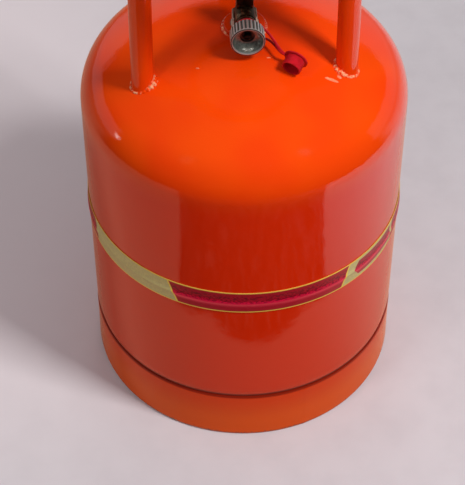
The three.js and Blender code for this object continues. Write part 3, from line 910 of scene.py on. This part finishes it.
def on_valve(piece, lying=False):
    """Moves a piece made at the origin to the valve; lying pieces point forward along -Y."""
    piece.data.transform(valve_place @ forward if lying else valve_place)
    return piece


def applied(piece):
    """The piece with its modifiers turned into plain mesh."""
    graph = bpy.context.evaluated_depsgraph_get()
    mesh = bpy.data.meshes.new_from_object(piece.evaluated_get(graph))
    old = piece.data
    piece.modifiers.clear()
    piece.data = mesh
    bpy.data.meshes.remove(old)
    return piece


def fused(piece, others, operation="UNION", crossing=False):
    """Joins or cuts by Boolean; crossing is for a tool that passes through itself."""
    for other in others:
        change = piece.modifiers.new(other.name, "BOOLEAN")
        change.operation = operation
        change.object = other
        change.solver = "EXACT"
        change.use_self = crossing
    applied(piece)
    for other in others:
        bpy.data.objects.remove(other)
    return piece


def prism(name, corners, low, high, bevel):
    """A straight bar over a flat outline of (x, y) corners, its edges eased by a bevel."""
    count = len(corners)
    vertices = [(x, y, z) for z in (low, high) for x, y in corners]
    faces = [tuple(range(count - 1, -1, -1)), tuple(range(count, 2 * count))]
    faces += [(i, (i + 1) % count, count + (i + 1) % count, count + i) for i in range(count)]
    piece = mesh_object(name, vertices, faces, 20)
    ease = piece.modifiers.new("ease", "BEVEL")
    ease.width = bevel
    ease.segments = 3
    return applied(piece)


print("valve helpers ready")

# %% [markdown]
# The outlet's thread is real shape: the radius dips as the section goes round, and the dip
# winds down by one pitch a turn. It stops short of the top, where the thread is chamfered.

# %% Valve body's outlet
outlet_top, outlet_radius, outlet_foot = 54 * MM, 8 * MM, 30 * MM
thread_pitch, thread_depth, thread_foot = 1.5 * MM, 0.55 * MM, 41 * MM


def outlet_thread(radius, height, turn):
    """A cut thread: the groove winds down one pitch for each turn."""
    if radius < 6.5 * MM or not thread_foot < height < outlet_top - 1.4 * MM:
        return (radius, height)
    winding = (height / thread_pitch + turn / TAU) % 1.0
    return (radius - thread_depth * abs(2 * winding - 1), height)


outlet_section = [(0, outlet_foot), (outlet_radius, outlet_foot)]
outlet_section += straight(outlet_radius, 40 * MM, outlet_top - 1.2 * MM, 90)
outlet_section += [(outlet_radius - 1 * MM, outlet_top), (0, outlet_top)]
outlet = turned("outlet", outlet_section, 72, outlet_thread)
print("outlet", len(outlet.data.polygons))

# %% [markdown]
# A forging is one lump, so its forms are joined into one mesh: the spanner hexagon, the
# square column, the taper that goes into the boss, the outlet, and the round collar that
# faces forward and takes the bonnet nut.

# %% Valve body's outside
hex_reach = 21.7 * MM / math.sqrt(3)
hex_corners = [(hex_reach * math.sin(TAU * k / 6), hex_reach * math.cos(TAU * k / 6)) for k in range(6)]
column_corners = mm((-7.35, -7.4), (7.35, -7.4), (7.35, 9.6), (-7.35, 9.6))
column_foot, column_top = 5.5 * MM, 38 * MM
valve = prism("valve_forging", hex_corners, clearance, 11.3 * MM, 0.8 * MM)
column = prism("column", column_corners, column_foot, column_top, 1.1 * MM)
stem = turned("stem", mm((0, -21), (11.7, -21), (12.3, 0.3), (0, 0.3)), 64)
lying_collar = turned("collar", rounded(mm((0, 0), (8.9, 0), (8.9, 19.3), (0, 19.3)), 0.7 * MM), 96)
lying_collar.data.transform(forward)
fused(valve, [column, stem, outlet])
fused(valve, [lying_collar])
print("valve outside", len(valve.data.polygons))

# %% [markdown]
# The gas rises through the boss, passes the seat in the chamber behind the nut, and leaves
# through the outlet. These ways are drilled, so they are cut by turned tools, as a drill
# would leave them.

# %% Valve body's passages
bore_floor = outlet_top - 20 * MM


def passage(name, twist, steps, lying=False, shift=(0, 0, 0)):
    """A drilled hole as a cutting tool: steps are (radius, height), from its floor outwards."""
    tool = turned(name, [(0, steps[0][1]), *steps, (0, steps[-1][1])], 40)
    # Its own small turn keeps a tool's corners off other edges, where a Boolean can leave gaps
    tool.data.transform(Matrix.Rotation(math.radians(twist), 4, "Z"))
    if lying:
        tool.data.transform(forward)
    tool.data.transform(Matrix.Translation(shift))
    return tool


way = 2.6 * MM
fused(valve, [
    passage("inlet", 1.3, [(way, -22 * MM), (way, bonnet)], shift=(0, 5.4 * MM, 0)),
    passage("seat_hole", 2.9, mm((2, -5.4), (2, 0.2)), lying=True),
    passage("riser", 4.1, [(way, bonnet), (way, bore_floor + clearance)], shift=(0, -way, 0)),
    passage("outlet_bore", 5.7, [(4 * MM, bore_floor), (4 * MM, outlet_top + 1 * MM)]),
    passage("chamber", 7.3, mm((5.5, -1), (5.5, 9.8), (7, 9.8), (7, 21)), lying=True),
], "DIFFERENCE")
valve.data.shade_smooth()
valve.data.set_sharp_from_angle(angle=math.radians(30))
dress(on_valve(valve), valve_brass, CYLINDER, "valve_body", slot="brass")
print("valve", len(valve.data.polygons))

# %% [markdown]
# The bonnet nut holds the spindle in. It is turned, with a narrow neck in front of its head.
# The strap of the closure cap hangs on that neck.

# %% Bonnet nut
nut_section = rounded(mm(
    (6.7, 11.9), (6.7, 19.6), (8.4, 19.6), (8.4, 21.2), (6.4, 22.2), (6.4, 29.5), (3.3, 29.5),
    (3.3, 25.6), (4.9, 25.6), (4.9, 23.7), (3.3, 23.7), (3.3, 15), (4.9, 15), (4.9, 11.9),
), 0.35 * MM)
nut = on_valve(turned("nut_turned", nut_section, 96), lying=True)
dress(nut, nut_brass, CYLINDER, "bonnet_nut", slot="brass")
print("nut", len(nut.data.polygons))

# %% [markdown]
# The handwheel is a cup: ribs outside for the fingers, a smooth hollow dish in front, and a
# hub with the screw at the bottom of the dish. The ribs are made by letting the radius wave
# as the section goes round, but only on the cylindrical part.

# %% Handwheel
wheel_back, wheel_front, wheel_radius = 31.9 * MM, 45.5 * MM, 15.2 * MM
rim_radius, dish_radius, dish_depth, hub_floor = 13.6 * MM, 6.2 * MM, 8 * MM, 36 * MM
hub_back, hub_radius, stem_hole, wheel_round = 29.8 * MM, 6 * MM, 3.2 * MM, 0.8 * MM
rib_count, rib_depth, dish_steps = 28, 0.75 * MM, 18

dish = []
for step in range(dish_steps + 1):
    a = (math.pi / 2) * step / dish_steps
    dish_reach = dish_radius + (rim_radius - dish_radius) * math.sin(a)
    dish.append((dish_reach, wheel_front - dish_depth * math.cos(a)))
wheel_section = [
    (stem_hole, hub_back), (hub_radius, hub_back), (hub_radius, wheel_back),
    (wheel_radius - wheel_round, wheel_back),
]
wheel_section += straight(wheel_radius, wheel_back + wheel_round, wheel_front - 1.4 * MM, 14)
wheel_section += arc(
    (wheel_radius - wheel_round, wheel_front - wheel_round), wheel_round, 0, math.pi / 2, 5,
)
wheel_section += dish[::-1]
wheel_section += [
    (dish_radius - 0.3 * MM, wheel_front - dish_depth - 0.4 * MM),
    (dish_radius - 0.4 * MM, hub_floor), (stem_hole, hub_floor),
]


def ribs(radius, height, turn):
    if radius < 14.2 * MM:
        return (radius, height)
    crest = abs(math.cos(turn * rib_count / 2)) ** 0.8
    fade = min(1.0, max(0.0, (wheel_front - 1.0 * MM - height) / (1.2 * MM)))
    return (radius - rib_depth * (1 - crest) * fade, height)


wheel = turned("wheel_cast", wheel_section, rib_count * 12, ribs, angle=40)
dress(on_valve(wheel, lying=True), wheel_zinc, WHEEL, "handwheel", slot="die_cast")
print("wheel", len(wheel.data.polygons))

# %% [markdown]
# A washer and a slotted screw hold the wheel on its spindle. They lie deep in the dish, where
# only their edges catch light, so the washer's rim is eased and the screw's head is domed
# before the slot is cut across it.

# %% Washer and screw
washer_section = rounded(mm((1.5, 36.3), (4.4, 36.3), (4.4, 37.1), (1.5, 37.1)), 0.2 * MM)
washer = on_valve(turned("washer_pressed", washer_section, 64), lying=True)
dress(washer, dark_steel, WHEEL, "wheel_washer", slot="steel")
screw_section = mm((0, 30.3), (1.2, 30.3), (1.2, 37.4), (3.4, 37.4))
screw_section += arc((2.4 * MM, 38.6 * MM), 1 * MM, 0, math.pi / 2, 5) + mm((0, 39.6))
screw = turned("screw_head", screw_section, 48)
slot_corners = mm((-4, -0.45), (4, -0.45), (4, 0.45), (-4, 0.45))
slot_cut = prism("slot", slot_corners, 38.5 * MM, 41 * MM, 0.05 * MM)
fused(screw, [slot_cut], "DIFFERENCE")
dress(on_valve(screw, lying=True), dark_steel, WHEEL, "wheel_screw", slot="steel")
print("washer and screw", len(washer.data.polygons), len(screw.data.polygons))

# %% [markdown]
# The closure cap and its strap are one moulding. The cap lies on the dome on its flange and
# its mouth, so its place follows from the dome: out along the crown's radius, turned to its
# heading and tilted until both rims touch.

# %% Closure cap's place
cap_length, cap_radius, cap_flange = 11.4 * MM, 8.75 * MM, 10.9 * MM
cap_azimuth, cap_heading, cap_reach = math.radians(-49), math.radians(246), 63 * MM
cap_half = cap_length / 2
cap_tilt = math.atan2(cap_flange - cap_radius, cap_length)
cap_lift = math.sqrt((top_crown + clearance) ** 2 - (cap_half / math.cos(cap_tilt)) ** 2)
cap_place = (
    Matrix.Translation((0, 0, crown_centre))
    @ Matrix.Rotation(cap_azimuth, 4, "Z")
    @ Matrix.Rotation(math.asin(cap_reach / top_crown), 4, "Y")
    @ Matrix.Translation((0, 0, cap_lift))
    @ Matrix.Rotation(cap_heading - cap_azimuth, 4, "Z")
    @ Matrix.Rotation(cap_tilt, 4, "Y")
    @ Matrix.Translation((-cap_half, 0, (cap_flange + cap_radius) / 2))
)
print("cap at", [round(v, 4) for v in cap_place.translation])

# %% [markdown]
# The strap is a smooth loop through listed points round the valve's neck, the same ones
# that the model's solid follows. Between two points the curve blends straight lines, with
# steps that follow the points' spacing, so it passes through each of them without kinks.

# %% Strap's route
neck_loop = (6.4 + 1.15 + 2.2) * MM
neck_middle = (19.3 + 1.6 + 31.9) / 2 * MM


def neck_point(across, ahead, up):
    return valve_place @ Vector((across * neck_loop, -(neck_middle + ahead * MM), bonnet + up * neck_loop))


tab = cap_place @ Vector((0.75 * MM, -cap_flange + 1 * MM, 0))
tab_out = cap_place @ Vector((0.75 * MM, -cap_flange - 2 * MM, 0.5 * MM))
route = [
    tab, tab_out,
    neck_point(1.9, 1.5, -0.5), neck_point(0.75, 0, 0.66), neck_point(0, 0, 1), neck_point(-0.8, 0, 0.6),
    neck_point(-1, 0, -0.2), neck_point(-0.5, 0, -0.95), neck_point(0.5, 0.5, -1.15),
    neck_point(1.9, 1.5, -1.3),
    tab_out + Vector((-0.6, -0.8, 0)) * MM, tab + Vector((0.4, -0.6, 0)) * MM,
]


def smooth_route(points, steps):
    """A smooth curve through all the points, also where their spacing is uneven."""
    ends = [points[0] * 2 - points[1]] + points + [points[-1] * 2 - points[-2]]
    curve = []
    for p0, p1, p2, p3 in zip(ends, ends[1:], ends[2:], ends[3:]):
        t0 = 0.0
        t1 = t0 + math.sqrt((p1 - p0).length)
        t2 = t1 + math.sqrt((p2 - p1).length)
        t3 = t2 + math.sqrt((p3 - p2).length)
        for step in range(steps):
            t = t1 + (t2 - t1) * step / steps
            a1 = p0.lerp(p1, (t - t0) / (t1 - t0))
            a2 = p1.lerp(p2, (t - t1) / (t2 - t1))
            a3 = p2.lerp(p3, (t - t2) / (t3 - t2))
            b1 = a1.lerp(a2, (t - t0) / (t2 - t0))
            b2 = a2.lerp(a3, (t - t1) / (t3 - t1))
            curve.append(b1.lerp(b2, (t - t1) / (t2 - t1)))
    curve.append(points[-1])
    return curve


strap_path = smooth_route(route, 14)
print("strap points", len(strap_path))

# %% [markdown]
# The cap and its strap came out of one mould, so they are one piece here too. The strap is a
# thin tube along the route, and both its ends are let into the cap's flange.

# %% Cap and strap
strap_radius, cap_wall, flange_height = 1.15 * MM, 1.3 * MM, 1.5 * MM
cap_section = rounded([
    (0, 0), (cap_flange, 0), (cap_flange, flange_height), (cap_radius, flange_height),
    (cap_radius, cap_length), (cap_radius - cap_wall, cap_length),
    (cap_radius - cap_wall, flange_height), (0, flange_height),
], 0.4 * MM)


def soft_rim(radius, height, turn):
    sag = 0.12 * MM * math.sin(2 * turn + 0.6) * height / cap_length
    return (max(radius + sag * (radius > 1 * MM), 0), height)


cap = turned("cap_moulding", cap_section, 96, soft_rim)
cap.data.transform(cap_place @ Matrix.Rotation(math.pi / 2, 4, "Y"))
strap = swept("strap", strap_path, [strap_radius] * len(strap_path), 12, closed=False)
fused(cap, [strap], crossing=True)
cap.data.shade_smooth()
cap.data.set_sharp_from_angle(angle=math.radians(40))
dress(cap, cap_red, CYLINDER, "closure_cap", slot="cap")
print("cap", len(cap.data.polygons))

# %% [markdown]
# What stays hidden inside the valve and under the belt keeps the model's own solids, each
# with a finish of its kind, so that a cut through the part would look right too.

# %% Finishes for the model's own pieces
kept = {
    "girth_weld": bead_enamel, "foot_ring_weld": bead_enamel, "bonnet_gasket": seal_black,
    "spindle_o_ring": seal_black, "seat_pad": seal_black, "outlet_gasket": seal_black,
    "upper_spindle": hidden_brass, "lower_spindle": hidden_brass,
}
for node, material in kept.items():
    solid = frame["nodes"][node]
    solid.data.materials.clear()
    solid.data.materials.append(material)
print("kept", list(kept))

# %% [markdown]
# The photograph looks down at the cylinder from in front, steeply, so the camera is high and
# its lens is long. Its place was fitted to the silhouette: the principal point lies a little
# off the middle, which is what the small shift is for.

# %% Camera
photo_height = 485
focal_pixels = 1700
middle_shift_pixels = -3.0
camera_place = (-0.00794, -1.1584, 1.3815)
camera_tilt = math.radians(42.54)
camera_data = bpy.data.cameras.new("camera")
camera_data.sensor_fit = "VERTICAL"
camera_data.sensor_height = 36
camera_data.lens = focal_pixels / photo_height * camera_data.sensor_height
camera_data.shift_x = middle_shift_pixels / photo_height
camera = bpy.data.objects.new("camera", camera_data)
camera.location = camera_place
camera.rotation_euler = (camera_tilt, 0, 0)
bpy.context.scene.collection.objects.link(camera)
bpy.context.scene.camera = camera
print("lens", round(camera_data.lens, 1))

# %% [markdown]
# A soft box high on the right makes the main light, a weaker one on the left opens the
# shadows, and a low one behind keeps the far side readable when the cylinder is turned.
# Their mirror images are kept out of the gloss, as a photographer does by hanging them beyond
# what the bottle mirrors. Two small lamps that only the gloss can see give it highlights, one
# low at the left and one high at the left behind the bottle.

# %% Lights


def soft_box(name, azimuth, elevation, distance, size, power, seen_by="matt"):
    """An area lamp aimed at the dome; azimuth 0 is the front, 90 is +X."""
    lamp = bpy.data.lights.new(name, "AREA")
    lamp.shape = "RECTANGLE"
    lamp.size, lamp.size_y = size
    lamp.energy = power
    holder = bpy.data.objects.new(name, lamp)
    a, e = math.radians(azimuth), math.radians(elevation)
    direction = Vector((math.sin(a) * math.cos(e), -math.cos(a) * math.cos(e), math.sin(e)))
    target = Vector((0, 0, 0.3))
    holder.location = target + direction * distance
    holder.rotation_euler = direction.to_track_quat("Z", "Y").to_euler()
    holder.visible_glossy = seen_by == "gloss"
    holder.visible_diffuse = seen_by == "matt"
    bpy.context.scene.collection.objects.link(holder)


soft_box("key_right", 54, 55, 1.9, (0.36, 0.36), 27)
soft_box("key_left", -44, 42, 1.9, (0.36, 0.36), 4.6)
soft_box("fill_back", 180, 14, 2.2, (0.8, 0.6), 6)
soft_box("window_left", -86, 7, 1.6, (0.10, 0.20), 0.35, "gloss")
soft_box("ceiling_left", -148, 57, 2.0, (0.06, 0.06), 0.10, "gloss")
print("lamps", len(bpy.data.lights))

# %% [markdown]
# Polished metal only looks like metal when it has something bright to mirror. The two soft
# boxes are hidden from the gloss, so two more lamps, each above one of them, are linked to
# the handwheel alone. Its dish shows a pair of highlights and the enamel stays clean.

# %% Sparkle on the handwheel
sparkle = bpy.data.collections.new("sparkle_on")
sparkle.objects.link(wheel)
for side, azimuth in (("left", -44), ("right", 54)):
    soft_box(f"sparkle_{side}", azimuth, 64, 1.9, (0.55, 0.55), 9, "gloss")
    bpy.data.objects[f"sparkle_{side}"].light_linking.receiver_collection = sparkle
print("sparkle on", wheel.name)

# %% [markdown]
# The camera sees a pale paper floor. The gloss sees that paper too, but in front it ends:
# past a curved edge lies the dark room, and its mirror image is the deep red field in the
# middle of the bottle. Light Path tells the kinds of ray apart. For the light that bounces
# up from it the paper is greyer, so that the bottle's side stays deep in colour. To the left
# and right the paper ends further out, and the room is dark beyond it too.

# %% Floor
PAPER = rgb(0.72, 0.675, 0.70)
PAPER_GREY = rgb(0.68, 0.635, 0.66)
MIRRORED_LEFT = rgb(0.82, 0.46, 0.31)
MIRRORED_RIGHT = rgb(1.0, 0.96, 0.98)
PAPER_LIGHTENED_LEFT = rgb(0.93, 0.83, 0.85)
PAPER_BOUNCE = rgb(0.34, 0.30, 0.31)
DARK_ROOM = rgb(0.012, 0.01, 0.01)
gap_starts, gap_middle, gap_ends, gap_soft = -39, 8, 48, 1.4


def floor_material():
    finish = Finish("floor_paper", Roughness=0.8)
    seen = finish.start.node("ShaderNodeLightPath", out="Is Camera Ray")
    mirrored = finish.start.node("ShaderNodeLightPath", out="Is Glossy Ray")
    around = finish.around()
    out = finish.x.across(finish.y)
    from_middle = around - gap_middle
    edge = (0.264 + 0.00005 * from_middle * from_middle).smaller(0.3)
    past_edge = (out - edge).rise(-0.002, 0.002)
    gap_left = around.rise(gap_starts, gap_starts + gap_soft)
    gap_right = 1 - around.rise(gap_ends, gap_ends + gap_soft)
    spread = finish.start.node("ShaderNodeCombineXYZ", None, {0: around * 0.22, 1: out * 5})
    streaks = finish.start.node(
        "ShaderNodeTexNoise", {"noise_dimensions": "2D"}, {"Vector": spread, "Detail": 3.0},
    )
    dark = past_edge * gap_left * gap_right * (1 - 0.45 * streaks.rise(0.52, 0.64))
    beyond = out.rise(0.84, 0.86) * (1 - finish.y.rise(0.0, 0.3))
    dark = dark.larger(beyond) * mirrored
    mottle = finish.grain(40, 3.0).rise(0.3, 0.8)
    paper = mottle.tint(PAPER, PAPER_GREY)
    # Painted light: the paper is lighter on the left, which softens the bottle's shadow there
    left = (1 - finish.x.rise(-0.35, 0.05)) * finish.y.rise(-0.3, 0.05)
    paper = left.tint(paper, PAPER_LIGHTENED_LEFT)
    mirror_colour = finish.x.rise(0.1, 0.5).tint(MIRRORED_LEFT, MIRRORED_RIGHT)
    paper = seen.tint(mirrored.tint(PAPER_BOUNCE, mirror_colour), paper)
    finish.set("Base Color", dark.tint(paper, DARK_ROOM))
    finish.bump(finish.grain(6, 3.0), 0.1)
    return finish.material


floor_size = 12
bpy.ops.mesh.primitive_plane_add(size=floor_size)
floor = bpy.context.object
floor.name = "floor"
floor.data.materials.append(floor_material())
print("floor", floor_size, "m wide")

# %% [markdown]
# The world is the room. The camera sees it as the same pale colour as the paper. It gives a
# weak even light, and in the gloss it is dark at the sides and dimly lit overhead, with the
# pale paper hanging behind the bottle.

# %% World
world = bpy.data.worlds.new("studio")
world.use_nodes = True
bpy.context.scene.world = world
background = world.node_tree.nodes["Background"]
sky = Wire(world.node_tree)
ray = {}
for kind in ("Camera", "Glossy", "Transmission"):
    ray[kind] = sky.node("ShaderNodeLightPath", out=f"Is {kind} Ray")
direction = sky.node("ShaderNodeTexCoord", out="Generated")
height = sky.node("ShaderNodeSeparateXYZ", None, {0: direction}, out="Z")
back = sky.node("ShaderNodeSeparateXYZ", None, {0: direction}, out="Y")
hanging = (1 - height.rise(0.3, 0.34)) * back.rise(-0.05, 0.05)
mirrored_room = height.rise(0.2, 1.0).tint(rgb(0.02, 0.016, 0.015), rgb(0.12, 0.075, 0.05))
mirrored_room = hanging.tint(mirrored_room, rgb(0.42, 0.38, 0.40))
room = ray["Glossy"].tint(rgb(0.25, 0.245, 0.255), mirrored_room)
room = ray["Camera"].larger(ray["Transmission"]).tint(room, rgb(0.56, 0.51, 0.54))
world.node_tree.links.new(room.socket, background.inputs["Color"])
background.inputs["Strength"].default_value = 1.0
bpy.context.scene.view_settings.view_transform = "Standard"
print("world ready")
